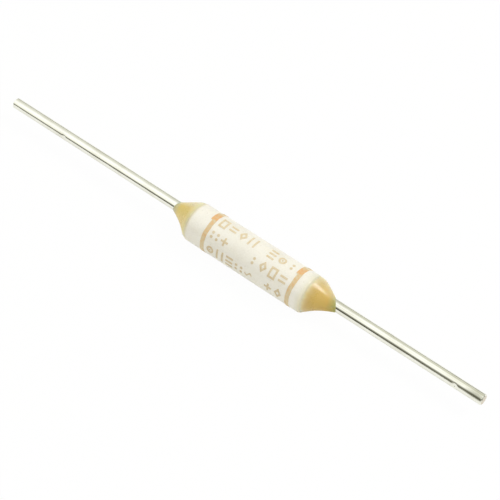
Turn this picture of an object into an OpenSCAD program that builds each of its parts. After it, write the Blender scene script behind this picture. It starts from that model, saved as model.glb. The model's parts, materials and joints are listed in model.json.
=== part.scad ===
// Axial thermal fuse: a ceramic tube with a fusible alloy link held between two tinned
// leads, a flux coat round the link, and a resin seal over each end of the tube.
// X runs along the tube, Z points up, and the origin is the middle of the tube.

/* [Ceramic tube] */
// Outer diameter of the ceramic tube
tube_d = 3.6; // [3.4:0.1:5]
// Length of the ceramic tube
tube_l = 12.6; // [10:0.1:18]
// Thickness of the tube's wall
tube_wall = 0.45; // [0.35:0.05:0.5]
// Rounding of the outer edge at both ends of the tube
tube_edge_r = 0.3; // [0.1:0.05:0.3]

/* [Leads] */
// Diameter of both leads
lead_d = 1.0; // [0.6:0.05:1.1]
// Length of the left lead outside the tube
left_lead_l = 21.8; // [10:0.1:60]
// Length of the right lead outside the tube
right_lead_l = 16.8; // [10:0.1:60]
// Length of each lead inside the tube
lead_reach = 3.7; // [3.2:0.1:4.2]
// Bevel round the cut end of each lead
lead_bevel = 0.08; // [0.02:0.01:0.2]
// Distance of the left lead from the tube's axis
left_lead_shift = 0.28; // [0:0.01:0.5]
// Distance of the right lead from the tube's axis
right_lead_shift = 0.46; // [0:0.01:0.5]

/* [Fusible link] */
// Diameter of the alloy wire between the leads
alloy_d = 0.8; // [0.5:0.05:1]
// Thickness of the alloy bead round each lead tip
bead_wall = 0.12; // [0.08:0.01:0.15]
// Length of the flux coat past each lead tip
flux_overlap = 0.9; // [0.7:0.05:1.2]
// Air gap between the flux coat and the tube's bore
flux_gap = 0.1; // [0.05:0.01:0.15]

/* [Resin seals] */
// Depth of the resin inside each end of the tube
seal_depth = 1.5; // [0.8:0.1:1.9]
// Thickness of the resin where it ends on the lead
seal_lip = 0.04; // [0.02:0.01:0.1]
// Length of the left seal along its lead
left_seal_l = 2.14; // [1.5:0.02:3]
// Length of the right seal along its lead
right_seal_l = 2.14; // [1.5:0.02:3]
// How much shorter the left seal is on the side its lead leans to, and longer opposite
left_seal_slant = 0.19; // [0:0.01:0.5]
// How much shorter the right seal is on the side its lead leans to, and longer opposite
right_seal_slant = 0.37; // [0:0.01:0.5]
// Margin between the tube's surface and the rim of the left seal
left_rim_margin = 0.03; // [0.02:0.01:0.3]
// Margin between the tube's surface and the rim of the right seal
right_rim_margin = 0.1; // [0.09:0.01:0.4]
// Distance of the left seal's rim from the tube's axis
left_rim_shift = 0; // [0:0.01:0.02]
// Distance of the right seal's rim from the tube's axis
right_rim_shift = 0.08; // [0:0.01:0.09]
// Slope of the left seal: 1 is a straight cone, less is domed, more is hollow
left_seal_curve = 1.06; // [0.8:0.01:1.6]
// Slope of the right seal: 1 is a straight cone, less is domed, more is hollow
right_seal_curve = 1.07; // [0.8:0.01:1.6]

/* [Print] */
// Thickness of the ink
ink_t = 0.02; // [0.01:0.005:0.04]
// Width of the two printed bands
band_w = 0.4; // [0.2:0.05:0.6]
// How much wider a band is in the block where its two ends overlap
block_extra = 0.18; // [0.06:0.02:0.4]
// Distance from the left end of the tube to the left band
left_band_inset = 2.22; // [1.2:0.01:2.6]
// Distance from the right end of the tube to the right band
right_band_inset = 1.23; // [1:0.01:2.6]
// Width of one printed mark
mark_w = 0.72; // [0.6:0.02:0.8]
// Height of one printed mark
mark_h = 1.0; // [0.8:0.05:1.1]
// Width of the lines that draw a mark
mark_line = 0.17; // [0.1:0.01:0.18]
// Distance between the middles of neighbouring marks
mark_pitch = 1.04; // [0.95:0.01:1.3]
// Distance between the middles of neighbouring rows, round the tube
row_pitch = 1.4; // [1.3:0.05:1.6]
// Gap between the left band and the first mark
mark_gap = 0.37; // [0.2:0.01:0.5]

/* [Hidden] */
$fn = 64;

LEFT = -1;
RIGHT = 1;

tube_r = tube_d / 2;
bore_r = tube_r - tube_wall;
tube_end = tube_l / 2;
lead_r = lead_d / 2;
lead_tip = tube_end - lead_reach;
past_face = 0.1;

// The link runs from one lead tip to the other, so it slants by their difference
link_shift = (left_lead_shift + right_lead_shift) / 2;
link_turn = atan((right_lead_shift - left_lead_shift) / (2 * lead_tip));
flux_r = bore_r - link_shift - flux_gap;
// The flux coat's ends keep a flat middle inside their rounding
flux_flat_r = flux_r * 0.4;
flux_end_r = flux_r - flux_flat_r;

// Sides and steps of the resin's sloping surface
seal_sides = 48;
seal_steps = 10;
// The resin's rings move over to the lead faster than they shrink
seal_lean = 3.5;
// The resin in the bore stands this far past the tube's end, inside the slope
plug_rise = 0.03;

// Angles round the tube are measured from the top towards -Y
first_row_angle = -8;
block_start = -43;
block_sweep = 45;

left_band_x = left_band_inset - tube_end;
right_band_x = tube_end - right_band_inset;
first_mark_x = left_band_x + band_w / 2 + mark_gap + mark_w / 2;
last_mark_x = right_band_x - band_w / 2 - block_extra - mark_w / 2;
columns = floor((last_mark_x - first_mark_x) / mark_pitch) + 1;
row_angle = row_pitch / tube_r * 180 / PI;
// A dot is wider than a line, so that it shows
dot_d = 1.5 * mark_line;
// Points along each edge of the wavy line
wave_steps = 16;

// Marks row by row from the top of the print; "" leaves a gap, and a longer row starts again
mark_rows = [
    ["frame", "two_bars", "diamond", "posts", "", "three_bars", "target", "dots"],
    ["four_dots", "plus", "", "", "dots", "diamond", "frame", "two_bars"],
    ["target", "posts", "three_bars", "four_dots", "wave", "", "plus", "diamond"]
];

// Lays what is drawn along Z down along X
module along_x() {
    rotate([0, 90, 0]) children();
}

// Mirrors a piece drawn for the right end to the left end
module at_end(side) {
    if (side == RIGHT) children();
    else mirror([1, 0, 0]) children();
}

// Outer form of the tube as a solid bar with rounded edges
module tube_bar() {
    along_x() rotate_extrude() {
        translate([0, -tube_end + tube_edge_r]) square([tube_r, tube_l - 2 * tube_edge_r]);
        translate([0, -tube_end]) square([tube_r - tube_edge_r, tube_l]);
        for (end = [LEFT, RIGHT])
            intersection() {
                translate([tube_r - tube_edge_r, end * (tube_end - tube_edge_r)]) circle(tube_edge_r);
                translate([tube_r - tube_edge_r, -tube_end]) square([tube_edge_r, tube_l]);
            }
    }
}

module ceramic_tube() {
    color("ivory") difference() {
        tube_bar();
        along_x() cylinder(r = bore_r, h = tube_l + 2 * past_face, center = true);
    }
}

function lead_length(side) = side == LEFT ? left_lead_l : right_lead_l;

function lead_shift(side) = side == LEFT ? left_lead_shift : right_lead_shift;

// A straight round wire from inside the tube to its bevelled cut end
module lead(side) {
    total = lead_reach + lead_length(side);
    translate([0, lead_shift(side), 0]) at_end(side) translate([lead_tip, 0, 0]) along_x()
        rotate_extrude()
            polygon([
                [0, 0], [lead_r, 0], [lead_r, total - lead_bevel],
                [lead_r - lead_bevel, total], [0, total]
            ]);
}

module left_lead() {
    color("silver") lead(LEFT);
}

module right_lead() {
    color("silver") lead(RIGHT);
}

// Outer form of the alloy: a wire from tip to tip with a bead round each lead tip
module alloy_bar() {
    translate([0, link_shift, 0]) rotate([0, 0, link_turn]) along_x()
        cylinder(d = alloy_d, h = 2 * lead_tip + 2 * bead_wall, center = true);
    translate([-lead_tip, left_lead_shift, 0]) sphere(lead_r + bead_wall);
    translate([lead_tip, right_lead_shift, 0]) sphere(lead_r + bead_wall);
}

module fusible_alloy() {
    color("darkgray") difference() {
        alloy_bar();
        lead(LEFT);
        lead(RIGHT);
    }
}

// Flux moulded round the alloy and the lead tips, with rounded ends
module flux_coat() {
    flux_end = lead_tip + flux_overlap;
    color("gold") difference() {
        translate([0, link_shift, 0]) along_x() rotate_extrude() {
            translate([0, -flux_end]) square([flux_flat_r, 2 * flux_end]);
            translate([0, -flux_end + flux_end_r]) square([flux_r, 2 * (flux_end - flux_end_r)]);
            for (end = [LEFT, RIGHT])
                intersection() {
                    translate([flux_flat_r, end * (flux_end - flux_end_r)]) circle(flux_end_r);
                    translate([flux_flat_r, -flux_end]) square([flux_end_r, 2 * flux_end]);
                }
        }
        alloy_bar();
        lead(LEFT);
        lead(RIGHT);
    }
}

// Value that goes from one end of the slope to the other as u goes from 0 to 1
function slope(u, from, to, curve) = to + (from - to) * pow(1 - u, curve);

// One round of points: its middle lies off the axis and its plane leans by the slant
function seal_ring(x, r, shift, slant) = [
    for (i = [0:seal_sides - 1])
        let (a = 360 * i / seal_sides)
        [x - slant * cos(a), shift + r * cos(a), r * sin(a)]
];

// Resin slope: rings shrink from the rim to the lead and move over to its middle
module seal_slope(length, slant, rim_r, rim_shift, end_shift, curve) {
    rings = concat(
        [seal_ring(tube_end - tube_edge_r, rim_r, rim_shift, 0)],
        [for (k = [0:seal_steps])
            let (u = k / seal_steps)
            seal_ring(
                tube_end + u * length,
                slope(u, rim_r, lead_r + seal_lip, curve),
                slope(u, rim_shift, end_shift, seal_lean),
                u * slant
            )]
    );
    last = len(rings) - 1;
    polyhedron(
        points = [for (ring = rings) each ring],
        faces = concat(
            [[for (i = [0:seal_sides - 1]) i]],
            [for (k = [0:last - 1], i = [0:seal_sides - 1])
                let (j = (i + 1) % seal_sides, a = k * seal_sides, b = a + seal_sides)
                each [[a + j, a + i, b + i], [a + j, b + i, b + j]]],
            [[for (i = [seal_sides - 1:-1:0]) last * seal_sides + i]]
        )
    );
}

// One seal: a plug in the bore and a slope from the tube's end down to the lead
module seal(side, length, slant, rim_margin, rim_shift, curve) {
    color("goldenrod") difference() {
        union() {
            at_end(side) difference() {
                seal_slope(length, slant, tube_r - rim_margin, rim_shift, lead_shift(side), curve);
                tube_bar();
            }
            at_end(side) translate([tube_end - seal_depth, 0, 0]) along_x()
                cylinder(r = bore_r, h = seal_depth + plug_rise);
        }
        lead(side);
    }
}

module left_seal() {
    seal(LEFT, left_seal_l, left_seal_slant, left_rim_margin, left_rim_shift, left_seal_curve);
}

module right_seal() {
    seal(RIGHT, right_seal_l, right_seal_slant, right_rim_margin, right_rim_shift,
        right_seal_curve);
}

// Ring of ink round the tube from x to the right
module ink_ring(x, width) {
    translate([x, 0, 0]) along_x() difference() {
        cylinder(r = tube_r + ink_t, h = width);
        translate([0, 0, -past_face]) cylinder(r = tube_r, h = width + 2 * past_face);
    }
}

// A printed band: a ring that is cut narrower all round but for the block
module band(x) {
    cut_w = block_extra + past_face;
    color("burlywood") difference() {
        ink_ring(x - band_w / 2 - block_extra, band_w + block_extra);
        translate([x - band_w / 2, 0, 0]) rotate([block_start + block_sweep, 0, 0])
            along_x() rotate([0, 0, 180]) rotate_extrude(angle = 360 - block_sweep)
                translate([tube_r - past_face, -cut_w]) square([ink_t + 2 * past_face, cut_w]);
    }
}

module left_band() {
    band(left_band_x);
}

module right_band() {
    band(right_band_x);
}

// Rectangle round a middle point
module bar(w, h, x = 0, y = 0) {
    translate([x, y]) square([w, h], center = true);
}

// Diamond as wide and high as asked
module diamond(w, h) {
    polygon([[w / 2, 0], [0, h / 2], [-w / 2, 0], [0, -h / 2]]);
}

function reverse(list) = [for (i = [len(list) - 1:-1:0]) list[i]];

// One edge of a wavy line as wide as a mark, as far above its middle as asked
function wave_edge(above) = [
    for (i = [0:wave_steps])
        let (s = 2 * i / wave_steps - 1)
        [s * mark_w / 2, mark_line * sin(180 * s) + above]
];

// A mark drawn flat round its own middle
module mark_shape(kind) {
    low = mark_h / 2 - mark_line / 2;
    wide = mark_w / 2 - mark_line / 2;
    if (kind == "frame") difference() {
        bar(mark_w, mark_h);
        bar(mark_w - 2 * mark_line, mark_h - 2 * mark_line);
    }
    if (kind == "two_bars") for (y = [-low / 2, low / 2]) bar(mark_w, mark_line, 0, y);
    if (kind == "three_bars") for (y = [-low, 0, low]) bar(mark_w, mark_line, 0, y);
    if (kind == "posts") for (x = [-wide, wide]) bar(mark_line, mark_h, x, 0);
    if (kind == "dots") for (y = [-low / 2, low / 2]) translate([0, y]) circle(d = dot_d);
    if (kind == "four_dots")
        for (x = [-wide, wide], y = [-low / 2, low / 2]) translate([x, y]) circle(d = dot_d);
    if (kind == "diamond") difference() {
        inner_w = mark_w - 2 * mark_line * norm([mark_w, mark_h]) / mark_h;
        diamond(mark_w, mark_h);
        diamond(inner_w, inner_w * mark_h / mark_w);
    }
    if (kind == "plus") {
        bar(mark_w, mark_line);
        bar(mark_line, mark_w);
    }
    if (kind == "target") {
        difference() {
            circle(mark_w / 2);
            circle(mark_w / 2 - mark_line);
        }
        circle(mark_line / 2);
    }
    if (kind == "wave") polygon(concat(wave_edge(mark_line / 2), reverse(wave_edge(-mark_line / 2))));
}

// One mark laid round the tube's surface as ink
module ink_mark(x, angle, kind) {
    intersection() {
        rotate([angle, 0, 0]) translate([x, 0, bore_r]) linear_extrude(tube_r) mark_shape(kind);
        ink_ring(x - mark_w, 2 * mark_w);
    }
}

module print_marks() {
    color("tan")
        for (row = [0:len(mark_rows) - 1], column = [0:columns - 1]) {
            kind = mark_rows[row][column % len(mark_rows[row])];
            if (kind != "")
                ink_mark(
                    first_mark_x + column * mark_pitch,
                    first_row_angle + row * row_angle,
                    kind
                );
        }
}

ceramic_tube();
left_lead();
right_lead();
fusible_alloy();
flux_coat();
left_seal();
right_seal();
left_band();
right_band();
print_marks();
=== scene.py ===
import json
import math

import bmesh
import bpy
from mathutils import Matrix, Vector

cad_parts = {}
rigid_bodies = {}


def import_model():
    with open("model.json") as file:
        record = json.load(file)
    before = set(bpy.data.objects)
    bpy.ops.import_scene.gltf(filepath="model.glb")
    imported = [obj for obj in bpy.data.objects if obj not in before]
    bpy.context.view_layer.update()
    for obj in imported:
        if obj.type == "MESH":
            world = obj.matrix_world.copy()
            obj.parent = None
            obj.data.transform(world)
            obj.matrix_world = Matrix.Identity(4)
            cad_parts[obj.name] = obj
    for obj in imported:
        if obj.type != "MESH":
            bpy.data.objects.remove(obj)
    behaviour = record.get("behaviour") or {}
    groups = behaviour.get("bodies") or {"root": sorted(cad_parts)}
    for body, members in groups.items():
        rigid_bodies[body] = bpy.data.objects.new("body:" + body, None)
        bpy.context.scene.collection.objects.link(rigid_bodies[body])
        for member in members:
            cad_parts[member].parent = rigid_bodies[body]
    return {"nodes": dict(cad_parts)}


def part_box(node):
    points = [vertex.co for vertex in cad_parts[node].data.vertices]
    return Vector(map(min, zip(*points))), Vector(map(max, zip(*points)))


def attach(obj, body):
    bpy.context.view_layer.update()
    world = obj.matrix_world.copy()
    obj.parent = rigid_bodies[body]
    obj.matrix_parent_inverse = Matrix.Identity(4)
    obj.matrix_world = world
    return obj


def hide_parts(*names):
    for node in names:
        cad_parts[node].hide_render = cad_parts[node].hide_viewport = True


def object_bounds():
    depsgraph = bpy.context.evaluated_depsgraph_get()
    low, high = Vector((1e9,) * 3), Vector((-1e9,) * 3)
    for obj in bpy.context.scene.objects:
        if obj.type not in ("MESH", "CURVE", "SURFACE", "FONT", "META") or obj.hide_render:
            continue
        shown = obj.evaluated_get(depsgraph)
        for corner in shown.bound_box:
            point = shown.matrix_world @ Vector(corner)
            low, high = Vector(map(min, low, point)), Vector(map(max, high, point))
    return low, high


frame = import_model()
cad_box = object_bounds()


# Ceramic tube
# The case of the fuse: an alumina tube, pressed from powder, fired hard and left with a thin
# clear glaze. Its outer edges are rounded and its bore is plain. Everything else sits in it.
MM = 0.001
tube_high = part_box("ceramic_tube")[1]
tube_r = tube_high[2]
tube_end = tube_high[0]
tube_wall = 0.45 * MM
tube_edge_r = 0.3 * MM
bore_edge_r = 0.04 * MM
bore_r = tube_r - tube_wall
tube_sides = 160
tube_cuts = 30
edge_steps = 10
same_place = 0.001 * MM


def color(code):
    """Linear colour of an sRGB hex value."""
    parts = [int(code[i:i + 2], 16) / 255 for i in (1, 3, 5)]
    return tuple(c / 12.92 if c <= 0.04045 else ((c + 0.055) / 1.055) ** 2.4 for c in parts) + (1,)


def node(tree, kind, inputs=(), **settings):
    """Adds a node with its settings, and sets or links each input, named or numbered."""
    made = tree.nodes.new(kind)
    for name, value in settings.items():
        setattr(made, name, value)
    for name, value in dict(inputs).items():
        if isinstance(value, bpy.types.NodeSocket):
            tree.links.new(value, made.inputs[name])
        else:
            made.inputs[name].default_value = value
    return made


def set_stops(ramp, stops):
    """Gives a colour ramp its stops: position and sRGB hex value."""
    marks = ramp.color_ramp.elements
    while len(marks) < len(stops):
        marks.new(1)
    for mark, (place, code) in zip(marks, stops):
        mark.position, mark.color = place, color(code)


def start_material(name):
    """A material with only its output and the object's own coordinates in millimetres."""
    material = bpy.data.materials.new(name)
    material.use_nodes = True
    tree = material.node_tree
    tree.nodes.clear()
    place = node(tree, "ShaderNodeTexCoord").outputs["Object"]
    in_mm = node(tree, "ShaderNodeVectorMath", {0: place, "Scale": 1 / MM}, operation="SCALE")
    output = node(tree, "ShaderNodeOutputMaterial")
    return material, tree, in_mm.outputs[0], output.inputs["Surface"]


def start_shape(name, **inputs):
    """A Geometry Nodes tree with the named inputs, and the nodes of its two ends."""
    tree = bpy.data.node_groups.new(name, "GeometryNodeTree")
    for label, kind in inputs.items():
        tree.interface.new_socket(label, in_out="INPUT", socket_type=f"NodeSocket{kind}")
    tree.interface.new_socket("Geometry", in_out="OUTPUT", socket_type="NodeSocketGeometry")
    return tree, node(tree, "NodeGroupInput").outputs, node(tree, "NodeGroupOutput").inputs[0]


def grow(name, tree, seed_mesh=None, **values):
    """Runs a tree with these inputs and gives back its result as a piece of plain mesh."""
    maker = bpy.data.objects.new(name + "_maker", seed_mesh or bpy.data.meshes.new(name + "_maker"))
    bpy.context.collection.objects.link(maker)
    modifier = maker.modifiers.new("shape", "NODES")
    modifier.node_group = tree
    for item in tree.interface.items_tree:
        if item.in_out == "INPUT" and item.name in values:
            modifier[item.identifier] = values[item.name]
    done = maker.evaluated_get(bpy.context.evaluated_depsgraph_get())
    mesh = bpy.data.meshes.new_from_object(done)
    mesh.name = name
    bpy.data.objects.remove(maker)
    return place_piece(name, mesh)


def finish_mesh(name, built):
    """Turns a bmesh that is done into a mesh of this name."""
    mesh = bpy.data.meshes.new(name)
    built.to_mesh(mesh)
    built.free()
    return mesh


def place_piece(name, mesh):
    """Puts a mesh into the scene as a piece at the origin."""
    piece = bpy.data.objects.new(name, mesh)
    bpy.context.collection.objects.link(piece)
    return piece


def ceramic_material():
    """Fired alumina: a warm white, faintly cloudy body under a thin satin glaze."""
    material, tree, at, surface = start_material("glazed_alumina_ceramic")
    # Clouds of about 2 mm from uneven firing, over pressed grains of about 0.12 mm
    cloud = node(tree, "ShaderNodeTexNoise", {"Vector": at, "Scale": 0.5, "Detail": 2})
    grain = node(tree, "ShaderNodeTexNoise", {"Vector": at, "Scale": 8, "Detail": 3})
    mixed = node(tree, "ShaderNodeMath", {0: cloud.outputs["Fac"], 1: grain.outputs["Fac"]},
                 operation="MULTIPLY")
    body = node(tree, "ShaderNodeValToRGB", {"Fac": mixed.outputs[0]})
    set_stops(body, [(0.1, "#EAE5DB"), (0.25, "#F2EEE4"), (0.45, "#F6F2EB")])
    # Sparse grey-brown specks of about 0.08 mm from the clay
    speck = node(tree, "ShaderNodeTexVoronoi", {"Vector": at, "Scale": 1.6})
    spot = node(tree, "ShaderNodeMapRange",
                {"Value": speck.outputs["Distance"], 1: 0.05, 2: 0.09, 3: 0.35, 4: 0})
    tone = node(tree, "ShaderNodeMix",
                {0: spot.outputs[0], 6: body.outputs[0], 7: color("#B7A98C")}, data_type="RGBA")
    # Resin wicked over the rounded ends and left a stain 0.45 mm wide, and 0.7 mm on the right
    along = node(tree, "ShaderNodeSeparateXYZ", {0: at})
    share = node(tree, "ShaderNodeMapRange", {"Value": along.outputs["X"], 1: -tube_end / MM,
                                              2: tube_end / MM})
    stain = node(tree, "ShaderNodeValToRGB", {"Fac": share.outputs[0]})
    set_stops(stain, [(0.0, "#E4D4A0"), (0.014, "#EFE3C0"), (0.036, "#FFFFFF"), (0.944, "#FFFFFF"),
                      (0.97, "#F9F9F4"), (0.985, "#F2F0E4"), (1.0, "#E6DEC4")])
    tone = node(tree, "ShaderNodeMix", {0: 1.0, 6: tone.outputs[2], 7: stain.outputs[0]},
                data_type="RGBA", blend_type="MULTIPLY")
    rough = node(tree, "ShaderNodeMapRange", {"Value": grain.outputs["Fac"], 3: 0.3, 4: 0.48})
    # The glaze smooths the grains and leaves a faint orange peel of about 0.5 mm
    peel = node(tree, "ShaderNodeTexNoise", {"Vector": at, "Scale": 2, "Detail": 1})
    high = node(tree, "ShaderNodeMath", {0: grain.outputs["Fac"], 1: peel.outputs["Fac"]},
                operation="ADD")
    bump = node(tree, "ShaderNodeBump", {"Height": high.outputs[0], "Strength": 0.25,
                                         "Distance": 0.008 * MM})
    shader = node(tree, "ShaderNodeBsdfPrincipled", {
        "Base Color": tone.outputs[2], "Roughness": rough.outputs[0], "Normal": bump.outputs[0],
        "IOR": 1.55, "Subsurface Weight": 0.15, "Subsurface Scale": 0.25 * MM,
        "Subsurface Radius": (1, 0.9, 0.7), "Coat Weight": 0.15, "Coat Roughness": 0.2,
    })
    tree.links.new(shader.outputs[0], surface)
    return material


# The wall's section is a long plate with rounded corners, swept once round the axis
tube_tree, given, result = start_shape("revolved_tube", Diameter="Float", Bore="Float",
                                       Length="Float", OuterEdge="Float", BoreEdge="Float",
                                       Material="Material")
both = node(tube_tree, "ShaderNodeMath", {0: given["Diameter"], 1: given["Bore"]}, operation="ADD")
middle_r = node(tube_tree, "ShaderNodeMath", {0: both.outputs[0], 1: 0.25}, operation="MULTIPLY")
walls = node(tube_tree, "ShaderNodeMath", {0: given["Diameter"], 1: given["Bore"]},
             operation="SUBTRACT")
wall = node(tube_tree, "ShaderNodeMath", {0: walls.outputs[0], 1: 0.5}, operation="MULTIPLY")
plate = node(tube_tree, "GeometryNodeCurvePrimitiveQuadrilateral",
             {"Width": wall.outputs[0], "Height": given["Length"]})
# Only the two long sides are divided
side = node(tube_tree, "ShaderNodeMath", {0: node(tube_tree, "GeometryNodeInputIndex").outputs[0],
                                          1: 2}, operation="MODULO")
cuts = node(tube_tree, "ShaderNodeMath", {0: side.outputs[0], 1: tube_cuts},
            operation="MULTIPLY")
divided = node(tube_tree, "GeometryNodeSubdivideCurve", {"Curve": plate.outputs[0],
                                                         "Cuts": cuts.outputs[0]})
spot = node(tube_tree, "ShaderNodeSeparateXYZ",
            {0: node(tube_tree, "GeometryNodeInputPosition").outputs[0]})
outside = node(tube_tree, "FunctionNodeCompare", {0: spot.outputs["X"], 1: 0.0})
edge_r = node(tube_tree, "GeometryNodeSwitch", {
    "Switch": outside.outputs[0], "False": given["BoreEdge"], "True": given["OuterEdge"],
}, input_type="FLOAT")
section = node(tube_tree, "GeometryNodeFilletCurve", {
    "Curve": divided.outputs[0], "Count": edge_steps, "Radius": edge_r.outputs[0],
    "Limit Radius": True,
}, mode="POLY")
ring = node(tube_tree, "GeometryNodeCurvePrimitiveCircle", {"Resolution": tube_sides,
                                                           "Radius": middle_r.outputs[0]})
swept = node(tube_tree, "GeometryNodeCurveToMesh", {"Curve": ring.outputs[0],
                                                    "Profile Curve": section.outputs[0]})
# Each cut on the straight sides gets fillet points too, all in one place
single = node(tube_tree, "GeometryNodeMergeByDistance", {"Geometry": swept.outputs[0],
                                                         "Distance": same_place})
laid = node(tube_tree, "GeometryNodeTransform", {"Geometry": single.outputs[0],
                                                 "Rotation": (0, math.pi / 2, 0)})
smooth = node(tube_tree, "GeometryNodeSetShadeSmooth", {"Geometry": laid.outputs[0]})
real = node(tube_tree, "GeometryNodeRealizeInstances", {"Geometry": smooth.outputs[0]})
dressed = node(tube_tree, "GeometryNodeSetMaterial", {"Geometry": real.outputs[0],
                                                      "Material": given["Material"]})
tube_tree.links.new(dressed.outputs[0], result)

tube = grow("glazed_ceramic_tube", tube_tree, Diameter=2 * tube_r, Bore=2 * bore_r,
            Length=2 * tube_end, OuterEdge=tube_edge_r, BoreEdge=bore_edge_r,
            Material=ceramic_material())
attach(tube, "root")
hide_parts("ceramic_tube")


# Leads
# Two straight wires of drawn copper, dipped in molten tin, one out of each end of the tube.
# The tin froze a little unevenly along them, and their outer ends are sheared with a bevel.
lead_bevel = 0.08 * MM
lead_steps = 300
lead_sides = 48
hollow_depth = 0.006 * MM
nick_r = 0.28 * MM
nick_y = -0.47 * MM
nick_z = 0.17 * MM


def tin_material():
    """Hot-dipped tin on drawn copper: a bright, faintly warm grey mirror with soft streaks."""
    material, tree, at, surface = start_material("hot_dipped_tin_on_copper")
    # Streaks 4 mm long and 0.17 mm wide from drawing, and dull clouds of about 1.4 mm
    along = node(tree, "ShaderNodeMapping", {"Vector": at, "Scale": (0.25, 6, 6)})
    streak = node(tree, "ShaderNodeTexNoise", {"Vector": along.outputs[0], "Scale": 1, "Detail": 3})
    cloud = node(tree, "ShaderNodeTexNoise", {"Vector": at, "Scale": 0.7, "Detail": 4})
    tone = node(tree, "ShaderNodeValToRGB", {"Fac": cloud.outputs["Fac"]})
    set_stops(tone, [(0.3, "#E6E5DA"), (0.5, "#EFEFE6"), (0.7, "#F3F3EB")])
    rough = node(tree, "ShaderNodeMapRange", {"Value": streak.outputs["Fac"], 1: 0.3, 2: 0.7,
                                              3: 0.05, 4: 0.13})
    # Painted shade: a grey patch about 2 mm long near the end of the right wire
    spot = node(tree, "ShaderNodeMapping", {"Vector": at, "Location": (-22.5, -0.6, -1.35),
                                            "Scale": (1, 3, 3)})
    far = node(tree, "ShaderNodeVectorMath", {0: spot.outputs[0]}, operation="LENGTH")
    ragged = node(tree, "ShaderNodeMath", {0: streak.outputs["Fac"], 1: 0.8,
                                           2: far.outputs["Value"]}, operation="MULTIPLY_ADD")
    painted_shade_patch = node(tree, "ShaderNodeMapRange", {"Value": ragged.outputs[0], 1: 0.7, 2: 1.6,
                                               3: 0.6, 4: 0.0})
    tone = node(tree, "ShaderNodeMix", {0: painted_shade_patch.outputs[0], 6: tone.outputs[0],
                                        7: color("#8E8F7C")}, data_type="RGBA")
    bump = node(tree, "ShaderNodeBump", {"Height": streak.outputs["Fac"], "Strength": 0.3,
                                         "Distance": 0.01 * MM})
    shader = node(tree, "ShaderNodeBsdfPrincipled", {
        "Base Color": tone.outputs[2], "Metallic": 1.0, "Roughness": rough.outputs[0],
        "Normal": bump.outputs[0],
    })
    tree.links.new(shader.outputs[0], surface)
    return material


def sheared_material():
    """The sheared end of the wire: the tin is drawn over most of it, and some copper shows."""
    material, tree, at, surface = start_material("sheared_copper")
    # Shear lines about 0.16 mm apart
    smear = node(tree, "ShaderNodeTexNoise", {"Vector": at, "Scale": 5, "Detail": 3})
    lines = node(tree, "ShaderNodeTexWave", {"Vector": at, "Scale": 2, "Distortion": 2},
                 bands_direction="Z")
    tone = node(tree, "ShaderNodeValToRGB", {"Fac": smear.outputs["Fac"]})
    set_stops(tone, [(0.3, "#CDA588"), (0.42, "#D3C8B6"), (0.7, "#E0DCCE")])
    bump = node(tree, "ShaderNodeBump", {"Height": lines.outputs["Fac"], "Strength": 0.4,
                                         "Distance": 0.01 * MM})
    shader = node(tree, "ShaderNodeBsdfPrincipled", {
        "Base Color": tone.outputs[0], "Metallic": 1.0, "Roughness": 0.35,
        "Normal": bump.outputs[0],
    })
    tree.links.new(shader.outputs[0], surface)
    return material


# A circle swept along the wire. The tin's hollows and one nick from pliers go inwards.
lead_tree, given, result = start_shape("tinned_wire", Start="Vector", End="Vector", Radius="Float",
                                       Bevel="Float", Hollows="Float", Seed="Float",
                                       Nick="Vector", NickRadius="Float", NickDepth="Float",
                                       Tin="Material", CutEnd="Material")
line = node(lead_tree, "GeometryNodeCurvePrimitiveLine", {"Start": given["Start"],
                                                          "End": given["End"]})
path = node(lead_tree, "GeometryNodeResampleCurve", {"Curve": line.outputs[0],
                                                     "Count": lead_steps})
rim = node(lead_tree, "GeometryNodeCurvePrimitiveCircle", {"Resolution": lead_sides,
                                                          "Radius": given["Radius"]})
wire = node(lead_tree, "GeometryNodeCurveToMesh", {"Curve": path.outputs[0],
                                                   "Profile Curve": rim.outputs[0],
                                                   "Fill Caps": True})
spot = node(lead_tree, "GeometryNodeInputPosition")
# Hollows about 3 mm long and 0.6 mm wide
stretched = node(lead_tree, "ShaderNodeVectorMath", {0: spot.outputs[0], 1: (350, 1600, 1600)},
                 operation="MULTIPLY")
uneven = node(lead_tree, "ShaderNodeTexNoise", {"Vector": stretched.outputs[0], "W": given["Seed"],
                                                "Scale": 1, "Detail": 1}, noise_dimensions="4D")
hollow = node(lead_tree, "ShaderNodeMath", {0: uneven.outputs["Fac"], 1: given["Hollows"]},
              operation="MULTIPLY")
away = node(lead_tree, "ShaderNodeVectorMath", {0: spot.outputs[0], 1: given["Nick"]},
            operation="DISTANCE")
dent = node(lead_tree, "ShaderNodeMapRange", {
    "Value": away.outputs["Value"], 1: 0.0, 2: given["NickRadius"], 3: given["NickDepth"], 4: 0.0,
}, interpolation_type="SMOOTHSTEP")
depth = node(lead_tree, "ShaderNodeMath", {0: hollow.outputs[0], 1: dent.outputs[0]},
             operation="ADD")
inwards = node(lead_tree, "ShaderNodeMath", {0: depth.outputs[0], 1: -1}, operation="MULTIPLY")
normal = node(lead_tree, "GeometryNodeInputNormal")
push = node(lead_tree, "ShaderNodeVectorMath", {0: normal.outputs[0], "Scale": inwards.outputs[0]},
            operation="SCALE")
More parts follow.
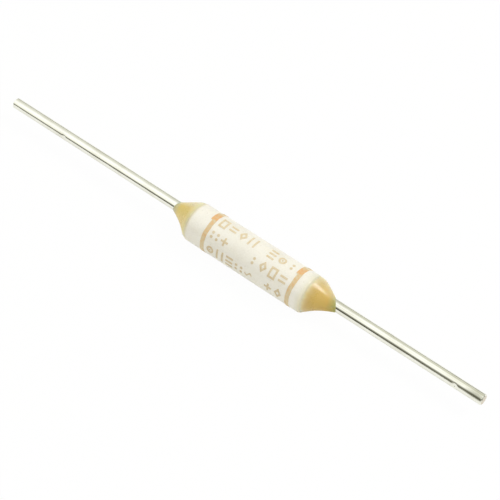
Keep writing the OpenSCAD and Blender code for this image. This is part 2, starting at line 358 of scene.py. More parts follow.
# The side of the wire is told from its two flat ends by how far its faces turn towards X
faces_x = node(lead_tree, "ShaderNodeSeparateXYZ", {0: normal.outputs[0]})
flatness = node(lead_tree, "ShaderNodeMath", {0: faces_x.outputs["X"]}, operation="ABSOLUTE")
on_side = node(lead_tree, "FunctionNodeCompare", {0: flatness.outputs[0], 1: 0.3},
               operation="LESS_THAN")
shaped = node(lead_tree, "GeometryNodeSetPosition", {"Geometry": wire.outputs[0],
                                                     "Selection": on_side.outputs[0],
                                                     "Offset": push.outputs[0]})
on_end = node(lead_tree, "FunctionNodeCompare", {0: flatness.outputs[0], 1: 0.9},
              operation="GREATER_THAN")
tinned = node(lead_tree, "GeometryNodeSetMaterial", {"Geometry": shaped.outputs[0],
                                                     "Material": given["Tin"]})
raised = node(lead_tree, "GeometryNodeExtrudeMesh", {"Mesh": tinned.outputs[0],
                                                     "Selection": on_end.outputs[0],
                                                     "Offset Scale": given["Bevel"]})
lost = node(lead_tree, "ShaderNodeMath", {0: given["Bevel"], 1: given["Radius"]},
            operation="DIVIDE")
kept = node(lead_tree, "ShaderNodeMath", {0: 1.0, 1: lost.outputs[0]}, operation="SUBTRACT")
bevelled = node(lead_tree, "GeometryNodeScaleElements", {"Geometry": raised.outputs["Mesh"],
                                                         "Selection": raised.outputs["Top"],
                                                         "Scale": kept.outputs[0]})
smooth = node(lead_tree, "GeometryNodeSetShadeSmooth", {"Geometry": bevelled.outputs[0]})
flat_end = node(lead_tree, "GeometryNodeSetShadeSmooth", {"Geometry": smooth.outputs[0],
                                                          "Selection": raised.outputs["Top"],
                                                          "Shade Smooth": False})
real = node(lead_tree, "GeometryNodeRealizeInstances", {"Geometry": flat_end.outputs[0]})
dressed = node(lead_tree, "GeometryNodeSetMaterial", {"Geometry": real.outputs[0],
                                                      "Selection": raised.outputs["Top"],
                                                      "Material": given["CutEnd"]})
lead_tree.links.new(dressed.outputs[0], result)

tin = tin_material()
sheared = sheared_material()
lead_middle = {}
# Each lead's own hollows, and the place and depth of its nick in millimetres
for name, seed, nick_x, nick_depth in [("left_lead", 1.0, -21.7, 0.04),
                                       ("right_lead", 6.0, 20.6, 0.09)]:
    low, high = (Vector(corner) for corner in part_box(name))
    middle = (low + high) / 2
    lead_r = (high.z - low.z) / 2
    lead_middle[name] = middle.y
    # The cut end adds the bevel's length again
    lead = grow("tinned_" + name, lead_tree,
                Start=(low.x + lead_bevel, middle.y, middle.z),
                End=(high.x - lead_bevel, middle.y, middle.z),
                Radius=lead_r, Bevel=lead_bevel, Hollows=hollow_depth, Seed=seed,
                Nick=(nick_x * MM, middle.y + nick_y, middle.z + nick_z),
                NickRadius=nick_r, NickDepth=nick_depth * MM, Tin=tin, CutEnd=sheared)
    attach(lead, "root")
    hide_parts(name)


# Fusible link and flux
# A short wire of low-melting alloy is soldered between the lead tips, inside a moulded coat of
# rosin-like flux. Both are the solids of the frame and are out of sight inside the tube.
def alloy_material():
    """Cast low-melting alloy: a dull grey metal with the fine grain of its freezing."""
    material, tree, at, surface = start_material("cast_fusible_alloy")
    # Grains of about 0.17 mm
    grain = node(tree, "ShaderNodeTexVoronoi", {"Vector": at, "Scale": 6})
    tone = node(tree, "ShaderNodeValToRGB", {"Fac": grain.outputs["Distance"]})
    set_stops(tone, [(0.1, "#A9ABAE"), (0.6, "#8D9094")])
    bump = node(tree, "ShaderNodeBump", {"Height": grain.outputs["Distance"], "Strength": 0.3,
                                         "Distance": 0.02 * MM})
    shader = node(tree, "ShaderNodeBsdfPrincipled", {
        "Base Color": tone.outputs[0], "Metallic": 1.0, "Roughness": 0.45,
        "Normal": bump.outputs[0],
    })
    tree.links.new(shader.outputs[0], surface)
    return material


def flux_material():
    """Moulded flux: brittle honey-coloured resin with a wax-like skin."""
    material, tree, at, surface = start_material("moulded_rosin_flux")
    # Swirls of about 0.8 mm
    swirl = node(tree, "ShaderNodeTexNoise", {"Vector": at, "Scale": 1.2, "Detail": 3,
                                              "Distortion": 1.0})
    tone = node(tree, "ShaderNodeValToRGB", {"Fac": swirl.outputs["Fac"]})
    set_stops(tone, [(0.3, "#C98F3A"), (0.7, "#E2B566")])
    bump = node(tree, "ShaderNodeBump", {"Height": swirl.outputs["Fac"], "Strength": 0.2,
                                         "Distance": 0.02 * MM})
    shader = node(tree, "ShaderNodeBsdfPrincipled", {
        "Base Color": tone.outputs[0], "Roughness": 0.4, "Normal": bump.outputs[0], "IOR": 1.53,
        "Subsurface Weight": 0.4, "Subsurface Scale": 0.4 * MM, "Subsurface Radius": (1, 0.6, 0.2),
    })
    tree.links.new(shader.outputs[0], surface)
    return material


frame["nodes"]["fusible_alloy"].material_slots[0].material = alloy_material()
frame["nodes"]["flux_coat"].material_slots[0].material = flux_material()


# Resin seals
# A drop of amber epoxy closes each end of the tube. It was poured round the lead, wetted the
# tube's rounded rim, and sagged into a lopsided cone that thins out on the lead.
seal_sides = 128
seal_steps = 48
seal_depth = 1.5 * MM
seal_lip = 0.04 * MM
seal_wave = 0.015 * MM
seal_foot = 0.03 * MM
film_margin = 0.01 * MM
# How soon the slope's middle moves over from the tube's axis to the lead's
seal_lean = 3.5


def slope(u, start, end, curve):
    """Goes from start to end as u goes from 0 to 1."""
    return end + (start - end) * (1 - u) ** curve


def rim_place(r):
    """Where the tube's end is along its axis, at this distance from it."""
    over = r - (tube_r - tube_edge_r)
    if over <= 0:
        return tube_end
    return tube_end - tube_edge_r + math.sqrt(max(tube_edge_r ** 2 - over ** 2, 0))


def pour_seal(name, side, length, slant, rim_r, rim_shift, curve, sheen_turn, sheen_spread):
    """Mesh of one seal: its plug in the bore, its slope, and the skin round the lead inside."""
    lead_y = lead_middle[name.replace("seal", "lead")]
    rings = []
    mesh = bmesh.new()
    downs = mesh.verts.layers.float.new("down_slope")
    sheen_layer = mesh.verts.layers.float.new("painted_sheen_side")

    def add_ring(place, down=0.0):
        """Adds a ring of points, each where place puts its angle, this far down the slope."""
        ring = []
        for i in range(seal_sides):
            a = 2 * math.pi * i / seal_sides
            point = mesh.verts.new(place(a))
            point[downs] = down
            # Painted sheen: a paler side on its back stands in for the bright room mirrored in it
            point[sheen_layer] = max(1 - (1 - math.cos(a - sheen_turn)) / (1 - math.cos(sheen_spread)), 0)
            ring.append(point)
        rings.append(ring)

    inner_x = tube_end - seal_depth
    add_ring(lambda a: (inner_x, lead_y + lead_r * math.cos(a), lead_r * math.sin(a)))
    for x in (inner_x, tube_end - 2 * bore_edge_r, tube_end - 0.5 * bore_edge_r):
        add_ring(lambda a: (x, bore_r * math.cos(a), bore_r * math.sin(a)))

    def on_slope(u, a):
        """A point on the slope, from the rim at u = 0 to the lead at u = 1."""
        r = slope(u, rim_r, lead_r + seal_lip, curve)
        # Sagging left the slope slightly uneven, but not at its two edges
        r += math.sin(math.pi * u) ** 2 * seal_wave * math.cos(2 * a + 1 + 2 * u)
        y = slope(u, rim_shift, lead_y, seal_lean) + r * math.cos(a)
        return Vector((tube_end + u * (length - slant * math.cos(a)), y, r * math.sin(a)))

    def on_rim(a):
        """A point of the film's edge, on the tube's end or its rounding."""
        edge = on_slope(0, a)
        r = max(Vector((edge.y, edge.z)).length, bore_r + film_margin)
        turn = math.atan2(edge.z, edge.y)
        return Vector((rim_place(r), r * math.cos(turn), r * math.sin(turn)))

    # The rim meets the ceramic in a small fillet, which ends this far down the slope
    fillet_end = 0.06
    add_ring(on_rim)
    rim = rings[-1]
    for share in (0.12, 0.3, 0.55, 0.8):
        add_ring(lambda a: on_rim(a).lerp(on_slope(fillet_end, a), share), fillet_end * share)
    for k in range(round(fillet_end * seal_steps), seal_steps + 1):
        u = k / seal_steps
        add_ring(lambda a: on_slope(u, a), u)
    end_x = tube_end + length
    add_ring(lambda a: (end_x + seal_foot - slant * math.cos(a), lead_y + lead_r * math.cos(a),
                        lead_r * math.sin(a)), 1.0)
    for ring, above in zip(rings, rings[1:] + rings[:1]):
        for i in range(seal_sides):
            j = (i + 1) % seal_sides
            mesh.faces.new((ring[i], ring[j], above[j], above[i]))
    # The film's thin edge is sharp, so that it shades apart from what lies under it
    for i in range(seal_sides):
        mesh.edges.get((rim[i], rim[i - 1])).smooth = False
    if side < 0:
        bmesh.ops.scale(mesh, vec=(-1, 1, 1), verts=mesh.verts)
    bmesh.ops.recalc_face_normals(mesh, faces=mesh.faces)
    for face in mesh.faces:
        face.smooth = True
    return place_piece("poured_" + name, finish_mesh(name, mesh))


def resin_material(name, tones, sheen_paleness, dulling):
    """Cast epoxy: an amber, slightly cloudy plastic that set with a wet gloss."""
    material, tree, at, surface = start_material(name)
    # The resin is a thin film over the white rim and thickens. Where it lies on the lead it turns
    # darker, a painted shade
    depth = node(tree, "ShaderNodeAttribute", attribute_name="down_slope")
    # Cloudy swirls of about 0.7 mm
    swirl = node(tree, "ShaderNodeTexNoise", {"Vector": at, "Scale": 1.4, "Detail": 2,
                                              "Distortion": 0.6})
    shift = node(tree, "ShaderNodeMapRange", {"Value": swirl.outputs["Fac"], 3: -0.06, 4: 0.06})
    mixed = node(tree, "ShaderNodeMath", {0: depth.outputs["Fac"], 1: shift.outputs[0]},
                 operation="ADD")
    tone = node(tree, "ShaderNodeValToRGB", {"Fac": mixed.outputs[0]})
    set_stops(tone, tones)
    # Painted sheen: the side facing up and back is mixed towards a pale colour
    sheen = node(tree, "ShaderNodeAttribute", attribute_name="painted_sheen_side")
    sheen_share = node(tree, "ShaderNodeMath", {0: sheen.outputs["Fac"], 1: sheen_paleness},
                operation="MULTIPLY")
    tone = node(tree, "ShaderNodeMix", {0: sheen_share.outputs[0], 6: tone.outputs[0],
                                        7: color("#E8E2C4")}, data_type="RGBA")
    # Pinholes and dust of about 0.08 mm that set in the skin
    dust = node(tree, "ShaderNodeTexNoise", {"Vector": at, "Scale": 12, "Detail": 2})
    ripple = node(tree, "ShaderNodeTexNoise", {"Vector": at, "Scale": 1.8, "Detail": 1})
    high = node(tree, "ShaderNodeMath", {0: dust.outputs["Fac"], 1: 0.15, 2: ripple.outputs["Fac"]},
                operation="MULTIPLY_ADD")
    bump = node(tree, "ShaderNodeBump", {"Height": high.outputs[0], "Strength": 0.3,
                                         "Distance": 0.05 * MM})
    # It set wet where it is thick, and duller at the rim and on the lead
    off = node(tree, "ShaderNodeMath", {0: depth.outputs["Fac"], 1: 0.3}, operation="SUBTRACT")
    off = node(tree, "ShaderNodeMath", {0: off.outputs[0], 1: off.outputs[0]},
               operation="MULTIPLY")
    dull = node(tree, "ShaderNodeMath", {0: off.outputs[0], 1: dulling, 2: 0.2},
                operation="MULTIPLY_ADD")
    rough = node(tree, "ShaderNodeMath", {0: dust.outputs["Fac"], 1: 0.15, 2: dull.outputs[0]},
                 operation="MULTIPLY_ADD")
    shader = node(tree, "ShaderNodeBsdfPrincipled", {
        "Base Color": tone.outputs[2], "Roughness": rough.outputs[0], "Normal": bump.outputs[0],
        "IOR": 1.55, "Subsurface Weight": 0.5, "Subsurface Scale": 0.35 * MM,
        "Subsurface Radius": (1, 0.7, 0.25),
    })
    tree.links.new(shader.outputs[0], surface)
    return material


# Which end a seal closes, its sizes in millimetres, the curve of its slope, the turn and spread
# of its painted sheen in degrees, and its looks
for name, side, length, slant, rim_r, rim_shift, curve, sheen, sheen_paleness, dulling, tones in [
    ("left_seal", -1, 2.14, 0.19, 1.77, 0, 1.06, (52, 50), 0.7, 0.3,
     [(0.0, "#F0E4B8"), (0.04, "#EBDA9C"), (0.15, "#E9D388"), (0.7, "#E8D07C"), (0.97, "#D4CBA0")]),
    # The right seal's last tone, dark olive where it lies on the lead, is painted shade
    ("right_seal", 1, 2.14, 0.37, 1.7, 0.08, 1.07, (20, 88), 0.6, 1.6,
     [(0.0, "#E4DAB8"), (0.05, "#D9C898"), (0.12, "#CFB578"), (0.2, "#CAAC62"), (0.36, "#CEAE5A"),
      (0.7, "#CCAB56"), (0.97, "#A8A264")]),
]:
    seal = pour_seal(name, side, length * MM, slant * MM, rim_r * MM, rim_shift * MM, curve,
                     *(math.radians(turn) for turn in sheen))
    seal.data.materials.append(resin_material("amber_epoxy_" + name, tones, sheen_paleness, dulling))
    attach(seal, "root")
    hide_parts(name)


# Printed bands
# A tan-orange ink line was rolled round the tube near each end before the ink was baked. Its
# two ends overlap in a wider and denser block.
ink_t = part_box("left_band")[1][2] - tube_r
band_w = 0.4 * MM
block_extra = 0.18 * MM
# Angles round the tube are measured from the top towards -Y
block_start = math.radians(-39)
block_sweep = math.radians(41)
far_fade = math.radians(18)
# The line widens into its block within this angle, in radians
block_blur = 0.03
fade_steepness = 2.2
line_load = 0.72
block_load = 0.28
start_loss = 0.35
load_waver = 0.06
long_waver = 0.012 * MM
short_waver = 0.008 * MM
edge_margin = 0.02 * MM
band_steps = 360
band_cuts = 4


def ink_point(x, turn, r):
    """A point on the print, from its place along the tube and its angle round it."""
    return (x, -r * math.sin(turn), r * math.cos(turn))


def ink_material(name, low_side_shade):
    """Baked marking ink: a thin matt tan film that lets the white body through in places."""
    material, tree, at, surface = start_material(name)
    # How much ink lies there, less patchy misses of about 0.25 mm
    load = node(tree, "ShaderNodeAttribute", attribute_name="ink_load")
    patch = node(tree, "ShaderNodeTexNoise", {"Vector": at, "Scale": 4, "Detail": 2})
    miss = node(tree, "ShaderNodeMapRange", {"Value": patch.outputs["Fac"], 1: 0.3, 2: 0.7,
                                             3: -0.18, 4: 0.12})
    mixed = node(tree, "ShaderNodeMath", {0: load.outputs["Fac"], 1: miss.outputs[0]},
                 operation="ADD")
    tone = node(tree, "ShaderNodeValToRGB", {"Fac": mixed.outputs[0]})
    set_stops(tone, [(0.0, "#F0E8D8"), (0.5, "#E2D2B2"), (0.62, "#DECBA6"), (0.75, "#DFC295"),
                     (1.0, "#E6B27A")])
    # Painted shade: the ink is darker and greyer towards its -Y edge, the lower side of the tube
    side = node(tree, "ShaderNodeSeparateXYZ", {0: at})
    painted_low_shade = node(tree, "ShaderNodeMapRange", {"Value": side.outputs["Y"], 1: -0.6, 2: -1.7,
                                              3: 0.0, 4: low_side_shade})
    tone = node(tree, "ShaderNodeMix", {0: painted_low_shade.outputs[0], 6: tone.outputs[0],
                                        7: color("#CFC3B0")}, data_type="RGBA",
                blend_type="MULTIPLY")
    grain = node(tree, "ShaderNodeTexNoise", {"Vector": at, "Scale": 10, "Detail": 2})
    bump = node(tree, "ShaderNodeBump", {"Height": grain.outputs["Fac"], "Strength": 0.3,
                                         "Distance": 0.01 * MM})
    rough = node(tree, "ShaderNodeMapRange", {"Value": grain.outputs["Fac"], 3: 0.5, 4: 0.7})
    shader = node(tree, "ShaderNodeBsdfPrincipled", {
        "Base Color": tone.outputs[2], "Roughness": rough.outputs[0], "Normal": bump.outputs[0],
        "IOR": 1.5,
    })
    tree.links.new(shader.outputs[0], surface)
    return material


def clamp(value):
    """Keeps a value between 0 and 1."""
    return min(max(value, 0), 1)


def close_shell(mesh, tops, bottoms, ring=True):
    """Joins two sheets of points, in rows, into a thin closed skin, as a ring or with two ends."""
    count = len(tops)
    for i in range(count if ring else count - 1):
        j = (i + 1) % count
        for row, nearer in ((tops, 1), (bottoms, -1)):
            for k in range(len(row[i]) - 1):
                mesh.faces.new((row[i][k], row[i][k + 1], row[j][k + 1], row[j][k])[::nearer])
        for k in (0, -1):
            mesh.faces.new((tops[i][k], tops[j][k], bottoms[j][k], bottoms[i][k]))
    for i in () if ring else (0, -1):
        for k in range(len(tops[i]) - 1):
            mesh.faces.new((tops[i][k], tops[i][k + 1], bottoms[i][k + 1], bottoms[i][k]))


band_ink = ink_material("baked_marking_ink", 0.0)
for name in ("left_band", "right_band"):
    right_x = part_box(name)[1][0]
    mesh = bmesh.new()
    loads = mesh.verts.layers.float.new("ink_load")
    tops, bottoms = [], []
    for i in range(band_steps):
        turn = 2 * math.pi * i / band_steps
        past = (turn - block_start) % (2 * math.pi)
        # The block's ends are a hair out of true, and the line's edge wavers
        in_block = clamp((block_sweep - past) / block_blur + 0.5)
        if past > math.pi:
            in_block = clamp((past - 2 * math.pi) / block_blur + 1)
        # The ink thins out towards both ends of the block, and most at its start
        fading = clamp(fade_steepness * math.sin(math.pi * past / block_sweep))
        starting = in_block * max(1 - past / far_fade, 0)
        ink = line_load + block_load * in_block * fading - start_loss * starting
        ink += load_waver * math.sin(3 * turn)
        waver = long_waver * math.sin(5 * turn) + short_waver * math.sin(13 * turn + 1)
        left_x = right_x - band_w + (waver - edge_margin) * (1 - in_block) - block_extra * in_block
        left_x = max(left_x, right_x - band_w - block_extra)
        edge_x = right_x - edge_margin + waver
        for row, r in ((tops, tube_r + ink_t), (bottoms, tube_r)):
            points = []
            for k in range(band_cuts + 1):
                x = left_x + (edge_x - left_x) * k / band_cuts
                points.append(mesh.verts.new(ink_point(x, turn, r)))
                points[-1][loads] = ink
            row.append(points)
    close_shell(mesh, tops, bottoms)
    bmesh.ops.recalc_face_normals(mesh, faces=mesh.faces)
    band = place_piece("printed_" + name, finish_mesh(name, mesh))
    band.data.materials.append(band_ink)
    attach(band, "root")
    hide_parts(name)


# Printed marks
# Three rows of plain signs were stamped between the bands with the same ink by a curved rubber
# pad. The strokes are about 0.17 mm wide, and the pad left less ink along their middles.
mark_w = 0.72 * MM
mark_h = 1.0 * MM
mark_line = 0.17 * MM
mark_pitch = 1.04 * MM
first_row_turn = math.radians(-8)
row_turn = 1.4 * MM / tube_r
# How much ink lies at three places across a stroke, from its outer to its inner edge
stroke_loads = ((0, 0.62), (0.5, 0.5), (1, 0.62))
lying_cuts = 8
standing_cuts = 12
corner_cuts = 10
disc_sides = 24
wave_cuts = 32
mark_rows = [
    ["frame", "two_bars", "diamond", "posts", "", "three_bars", "target", "dots"],
    ["four_dots", "plus", "", "", "dots", "diamond", "frame", "two_bars"],
    ["target", "posts", "three_bars", "four_dots", "wave", "", "plus", "diamond"],
]


def bar(w, h, x=0.0, y=0.0):
    """The two long edges of a bar, as a pair of point rows."""
    if w >= h:
        xs = [x + w * (k / lying_cuts - 0.5) for k in range(lying_cuts + 1)]
        return [(s, y + h / 2) for s in xs], [(s, y - h / 2) for s in xs], False
    ys = [y + h * (k / standing_cuts - 0.5) for k in range(standing_cuts + 1)]
    return [(x - w / 2, s) for s in ys], [(x + w / 2, s) for s in ys], False


def loop(corners, inner):
    """A closed stroke: outer corners, and the same corners scaled to the inner edge."""
    outer = []
    for start, end in zip(corners, corners[1:] + corners[:1]):
        outer += [tuple(Vector(start).lerp(end, k / corner_cuts)) for k in range(corner_cuts)]
    return outer, [(x * inner[0], y * inner[1]) for x, y in outer], True


def disc(d, x=0.0, y=0.0, hole=0.0):
    """A round dot, or a ring if it has a hole."""
    turns = [2 * math.pi * k / disc_sides for k in range(disc_sides)]
    return ([(x + d / 2 * math.cos(t), y + d / 2 * math.sin(t)) for t in turns],
            [(x + hole / 2 * math.cos(t), y + hole / 2 * math.sin(t)) for t in turns], True)


tall = (mark_h - mark_line) / 2
wide = (mark_w - mark_line) / 2
dot_d = 1.5 * mark_line
box_corners = [(-mark_w / 2, -mark_h / 2), (mark_w / 2, -mark_h / 2),
               (mark_w / 2, mark_h / 2), (-mark_w / 2, mark_h / 2)]
diamond_corners = [(mark_w / 2, 0), (0, mark_h / 2), (-mark_w / 2, 0), (0, -mark_h / 2)]
arm, half = mark_w / 2, mark_line / 2
plus_corners = [(half, -arm), (half, -half), (arm, -half), (arm, half),
                (half, half), (half, arm), (-half, arm), (-half, half),
                (-arm, half), (-arm, -half), (-half, -half), (-half, -arm)]
diamond_hole = 1 - 2 * mark_line * math.hypot(mark_w, mark_h) / mark_h / mark_w
wave_xs = [2 * k / wave_cuts - 1 for k in range(wave_cuts + 1)]
wave_top, wave_low = ([(s * mark_w / 2, mark_line * (math.sin(math.pi * s) + edge))
                       for s in wave_xs] for edge in (0.5, -0.5))
mark_strokes = {
    "frame": [loop(box_corners, (1 - 2 * mark_line / mark_w, 1 - 2 * mark_line / mark_h))],
    "two_bars": [bar(mark_w, mark_line, 0, y) for y in (-tall / 2, tall / 2)],
    "three_bars": [bar(mark_w, mark_line, 0, y) for y in (-tall, 0, tall)],
    "posts": [bar(mark_line, mark_h, x) for x in (-wide, wide)],
    "dots": [disc(dot_d, 0, y) for y in (-tall / 2, tall / 2)],
    "four_dots": [disc(dot_d, x, y) for x in (-wide, wide) for y in (-tall / 2, tall / 2)],
    "diamond": [loop(diamond_corners, (diamond_hole, diamond_hole))],
    "plus": [loop(plus_corners, (0, 0))],
    "target": [disc(mark_w, hole=mark_w - 2 * mark_line), disc(mark_line)],
    "wave": [(wave_top, wave_low, False)],
}


def stamp(name, strokes):
    """One mark as thin closed skins of ink, curved to the tube and standing at its top."""
    mesh = bmesh.new()
    loads = mesh.verts.layers.float.new("ink_load")
    for outer, inner, closed in strokes:
        sheets = []
        for r in (tube_r + ink_t, tube_r):
            rows = []
            for (ox, oy), (ix, iy) in zip(outer, inner):
                points = []
                for share, load in stroke_loads:
                    x, y = ox + (ix - ox) * share, oy + (iy - oy) * share
                    points.append(mesh.verts.new(ink_point(x, -y / tube_r, r)))
                    points[-1][loads] = load
                rows.append(points)
            sheets.append(rows)
        close_shell(mesh, *sheets, ring=closed)
    # The inner edge of a dot or a plus is a single point
    bmesh.ops.remove_doubles(mesh, verts=mesh.verts, dist=0.0001 * MM)
    bmesh.ops.recalc_face_normals(mesh, faces=mesh.faces)
    return bpy.data.objects.new(name, finish_mesh(name, mesh))


# The stamps stand in one collection, in order, and each place in a row picks one of them
stamps = bpy.data.collections.new("mark_stamps")
kinds = sorted(mark_strokes)
for kind in kinds:
    stamps.objects.link(stamp("stamp_" + kind, mark_strokes[kind]))
places = [(column, row, kinds.index(kind)) for row, kinds_in_row in enumerate(mark_rows)
          for column, kind in enumerate(kinds_in_row) if kind]
sheet = bpy.data.meshes.new("mark_places")
sheet.from_pydata([(column, row, 0) for column, row, kind in places], [], [])
picked = sheet.attributes.new("kind", "INT", "POINT")
picked.data.foreach_set("value", [kind for column, row, kind in places])

print_tree, given, result = start_shape("stamped_rows", Places="Geometry", FirstMark="Float",
                                        Pitch="Float", FirstTurn="Float", RowTurn="Float",
                                        Stamps="Collection", Ink="Material")
spot = node(print_tree, "ShaderNodeSeparateXYZ",
            {0: node(print_tree, "GeometryNodeInputPosition").outputs[0]})
along = node(print_tree, "ShaderNodeMath", {0: spot.outputs["X"], 1: given["Pitch"],
                                            2: given["FirstMark"]}, operation="MULTIPLY_ADD")
turn = node(print_tree, "ShaderNodeMath", {0: spot.outputs["Y"], 1: given["RowTurn"],
                                           2: given["FirstTurn"]}, operation="MULTIPLY_ADD")
# Both are kept on each point, because its column and row are then overwritten
kept_turn = node(print_tree, "GeometryNodeStoreNamedAttribute", {
    "Geometry": given["Places"], "Name": "turn", "Value": turn.outputs[0],
}, data_type="FLOAT", domain="POINT")
kept_along = node(print_tree, "GeometryNodeStoreNamedAttribute", {
    "Geometry": kept_turn.outputs[0], "Name": "along", "Value": along.outputs[0],
}, data_type="FLOAT", domain="POINT")
own_x = node(print_tree, "GeometryNodeInputNamedAttribute", {"Name": "along"}, data_type="FLOAT")
at_x = node(print_tree, "ShaderNodeCombineXYZ", {"X": own_x.outputs[0]})
spread = node(print_tree, "GeometryNodeSetPosition", {"Geometry": kept_along.outputs[0],
                                                      "Position": at_x.outputs[0]})
own_turn = node(print_tree, "GeometryNodeInputNamedAttribute", {"Name": "turn"}, data_type="FLOAT")
rolled = node(print_tree, "ShaderNodeCombineXYZ", {"X": own_turn.outputs[0]})
as_turn = node(print_tree, "FunctionNodeEulerToRotation", {0: rolled.outputs[0]})
choice = node(print_tree, "GeometryNodeInputNamedAttribute", {"Name": "kind"}, data_type="INT")
signs = node(print_tree, "GeometryNodeCollectionInfo", {
    "Collection": given["Stamps"], "Separate Children": True, "Reset Children": True})
stamped = node(print_tree, "GeometryNodeInstanceOnPoints", {
    "Points": spread.outputs[0], "Instance": signs.outputs[0], "Pick Instance": True,
    "Instance Index": choice.outputs[0], "Rotation": as_turn.outputs[0]})
real = node(print_tree, "GeometryNodeRealizeInstances", {"Geometry": stamped.outputs[0]})
dressed = node(print_tree, "GeometryNodeSetMaterial", {"Geometry": real.outputs[0],
                                                       "Material": given["Ink"]})
print_tree.links.new(dressed.outputs[0], result)

# The stamped marks carry the painted shade on the tube's lower side
mark_ink = ink_material("stamped_marking_ink", 0.3)
first_mark_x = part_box("print_marks")[0][0] + mark_w / 2
marks = grow("printed_marks", print_tree, sheet, FirstMark=first_mark_x, Pitch=mark_pitch,
             FirstTurn=first_row_turn, RowTurn=row_turn, Stamps=stamps, Ink=mark_ink)
for used in list(stamps.objects):
    bpy.data.objects.remove(used)
bpy.data.collections.remove(stamps)
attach(marks, "root")
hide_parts("print_marks")


# Floor, light and camera
# The fuse lies on its tube on a plain white sheet under a wide soft light. Near the horizon the
# room is dim, which draws a dark line along the bright wires.
floor_r = 1.2
floor_sides = 96
shown_white = 0.97
mirrored_white = 0.45
round_sheet = bmesh.new()
bmesh.ops.create_circle(round_sheet, cap_ends=True, segments=floor_sides, radius=floor_r)
bmesh.ops.translate(round_sheet, verts=round_sheet.verts, vec=(0, 0, cad_box[0][2]))
floor = place_piece("floor", finish_mesh("floor", round_sheet))
paper = bpy.data.materials.new("white_matt_paper")
paper.use_nodes = True
tree = paper.node_tree
tree.nodes.clear()
ray = node(tree, "ShaderNodeLightPath")
at = node(tree, "ShaderNodeTexCoord").outputs["Object"]
fibre = node(tree, "ShaderNodeTexNoise", {"Vector": at, "Scale": 900, "Detail": 2})
bump = node(tree, "ShaderNodeBump", {"Height": fibre.outputs["Fac"], "Strength": 0.05,
                                     "Distance": 0.02 * MM})
matt = node(tree, "ShaderNodeBsdfDiffuse", {"Color": color("#F4F4F2"), "Normal": bump.outputs[0]})
bright = node(tree, "ShaderNodeEmission", {"Color": (1, 1, 1, 1), "Strength": 1.0})
# The sheet shows almost white itself and keeps a trace of the shadow
either = node(tree, "ShaderNodeMath", {0: ray.outputs["Is Camera Ray"],
                                       1: ray.outputs["Is Transmission Ray"]}, operation="MAXIMUM")
# The bright wires mirror more of the shadow under them
mirrored = node(tree, "ShaderNodeMath", {0: ray.outputs["Is Glossy Ray"], 1: mirrored_white},
                operation="MULTIPLY")
share = node(tree, "ShaderNodeMath",
             {0: either.outputs[0], 1: shown_white, 2: mirrored.outputs[0]},
             operation="MULTIPLY_ADD", use_clamp=True)
mixed = node(tree, "ShaderNodeMixShader", {0: share.outputs[0], 1: matt.outputs[0],
                                           2: bright.outputs[0]})
node(tree, "ShaderNodeOutputMaterial", {"Surface": mixed.outputs[0]})
floor.data.materials.append(paper)

world = bpy.data.worlds.new("soft_studio")
bpy.context.scene.world = world
world.use_nodes = True
tree = world.node_tree
tree.nodes.clear()
way = node(tree, "ShaderNodeTexCoord").outputs["Generated"]
# The window side, towards -X, is bright. A dark beam crosses the ceiling a little towards +X
# of the fuse, and past it the room is bright again.
towards = node(tree, "ShaderNodeVectorMath", {0: way, 1: (-1.6, 0.35, 1.0)},
               operation="DOT_PRODUCT")
share = node(tree, "ShaderNodeMapRange", {"Value": towards.outputs["Value"], 1: -0.4, 2: 1.6})
sky = node(tree, "ShaderNodeValToRGB", {"Fac": share.outputs[0]})
set_stops(sky, [(0.1, "#FFFFFF"), (0.27, "#DCDCD4"), (0.385, "#504E44"), (0.455, "#4E4C42"),
                (0.5, "#85847A"), (0.598, "#9A998D"), (0.64, "#CCCCC7"), (0.68, "#E4E4DF"),
                (0.78, "#FEFEFA"), (0.85, "#F8F8EE"), (0.877, "#E4E4D6"), (0.9, "#FFFFFF")])
# All round, the room is dim near the horizon
height = node(tree, "ShaderNodeSeparateXYZ", {0: way})
dim = node(tree, "ShaderNodeValToRGB", {"Fac": height.outputs["Z"]})
set_stops(dim, [(0.05, "#6E6C60"), (0.22, "#FFFFFF")])
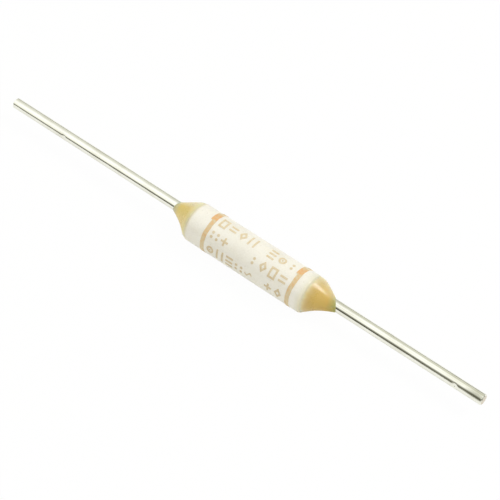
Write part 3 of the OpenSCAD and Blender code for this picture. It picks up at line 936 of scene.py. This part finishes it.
# The wall behind, towards +Y, is grey further up
rise = node(tree, "ShaderNodeVectorMath", {0: way, 1: (0.0, -0.45, 1.0)},
            operation="DOT_PRODUCT")
wall = node(tree, "ShaderNodeValToRGB", {"Fac": rise.outputs["Value"]})
set_stops(wall, [(0.1, "#D4D4CC"), (0.44, "#CECEC6"), (0.5, "#E4E4DC"), (0.68, "#E8E8E2"),
                 (0.8, "#F6F6F2"), (0.87, "#FFFFFF")])
level = node(tree, "ShaderNodeMix", {0: 1.0, 6: sky.outputs[0], 7: dim.outputs[0]},
             data_type="RGBA", blend_type="MULTIPLY")
level = node(tree, "ShaderNodeMix", {0: 1.0, 6: level.outputs[2], 7: wall.outputs[0]},
             data_type="RGBA", blend_type="MULTIPLY")
room = node(tree, "ShaderNodeBackground", {"Color": level.outputs[2], "Strength": 1.25})
white = node(tree, "ShaderNodeBackground", {"Color": (1, 1, 1, 1), "Strength": 1.0})
seen = node(tree, "ShaderNodeMixShader", {
    0: node(tree, "ShaderNodeLightPath").outputs["Is Camera Ray"], 1: room.outputs[0],
    2: white.outputs[0]})
node(tree, "ShaderNodeOutputWorld", {"Surface": seen.outputs[0]})

# A square soft lamp behind the right end, which looks at the middle of the fuse
softbox_place = Vector((0.22, 0.17, 0.31))
softbox_data = bpy.data.lights.new("softbox", "AREA")
softbox_data.size = 0.14
softbox_data.energy = 0.69
softbox = bpy.data.objects.new("softbox", softbox_data)
softbox.location = softbox_place
softbox.rotation_euler = softbox_place.to_track_quat("Z", "Y").to_euler()
bpy.context.collection.objects.link(softbox)

# The camera stands in front, to the right and above, and is held level
camera_turn = math.radians(-50.9678)
camera_rise = math.radians(52.1453)
camera_data = bpy.data.cameras.new("camera")
camera_data.sensor_width = 36
camera_data.lens = 108.748
camera_data.clip_start = 0.005
camera = bpy.data.objects.new("camera", camera_data)
back = Vector((math.cos(camera_turn) * math.cos(camera_rise),
               math.sin(camera_turn) * math.cos(camera_rise), math.sin(camera_rise)))
camera.matrix_world = Matrix.LocRotScale((0.0488957, -0.0606219, 0.1012327),
                                         back.to_track_quat("Z", "Y"), None)
bpy.context.collection.objects.link(camera)
bpy.context.scene.camera = camera
bpy.context.scene.view_settings.view_transform = "Standard"
